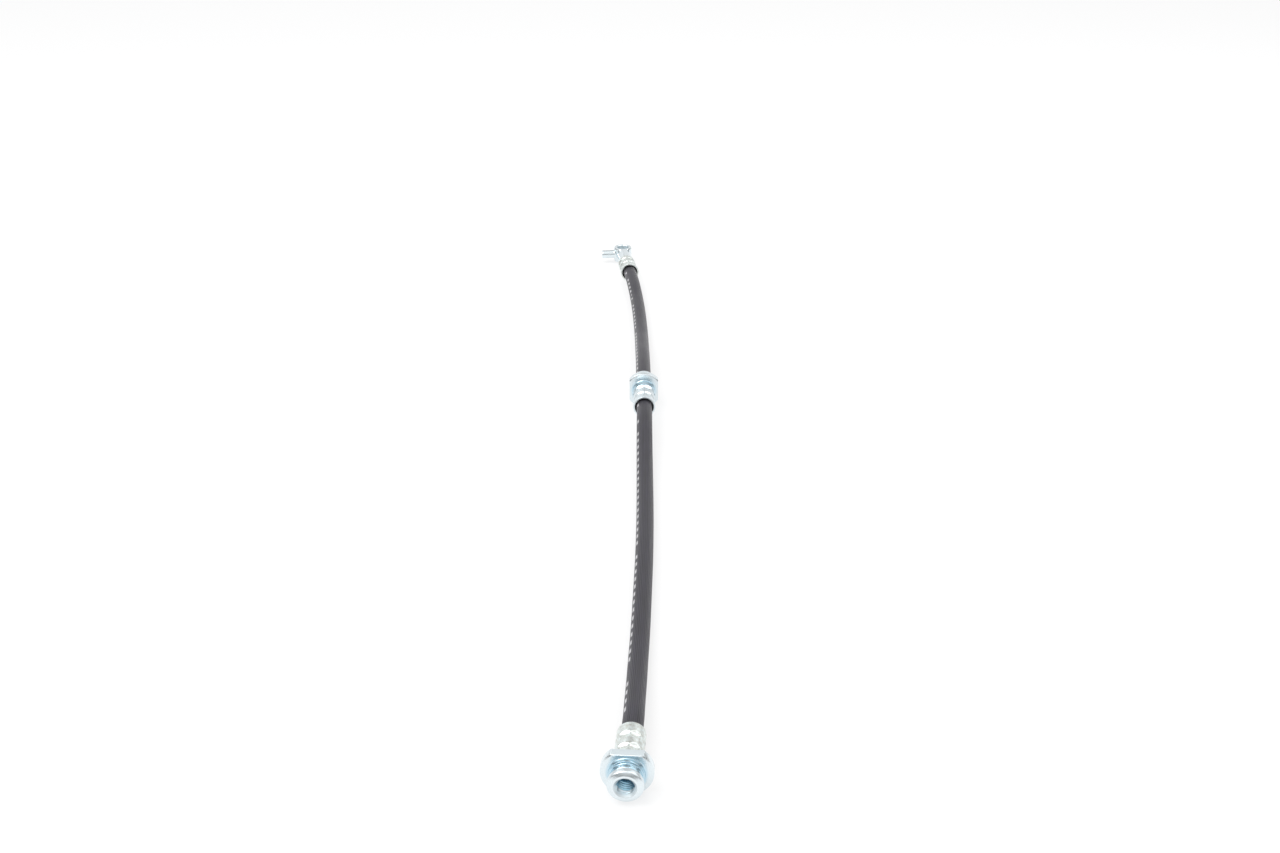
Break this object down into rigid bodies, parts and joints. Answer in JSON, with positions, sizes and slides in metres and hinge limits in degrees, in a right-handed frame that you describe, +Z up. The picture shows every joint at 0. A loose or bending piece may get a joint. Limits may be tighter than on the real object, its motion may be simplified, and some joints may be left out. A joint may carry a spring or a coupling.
{
  "type": "hydraulic brake hose",
  "caption": "Rubber hydraulic brake hose with a threaded inlet fitting, a bracket sleeve crimped part way along and a banjo eye with a locating pin.",
  "frame": {"origin": "on the table, under the centre of the box round the three fittings", "axes": "+Y along the hose from the threaded inlet to the banjo eye, +X to the right of that, +Z up from the table"},
  "size_m": [0.0466, 0.7448, 0.025],
  "materials": {
    "zinc_steel": "bright zinc plate with a blue passivate",
    "crimped_steel": "duller zinc plate, marked by the crimping jaws",
    "insert_steel": "bare drawn steel",
    "hose_rubber": "black synthetic rubber, finely ribbed along its length"
  },
  "bodies": {
    "root": {"inlet_fitting": "zinc_steel", "inlet_ferrule": "crimped_steel", "inlet_insert": "insert_steel", "bracket_sleeve": "zinc_steel", "banjo_fitting": "zinc_steel", "banjo_ferrule": "crimped_steel", "banjo_insert": "insert_steel", "hose": "hose_rubber"}
  },
  "joints": []
}
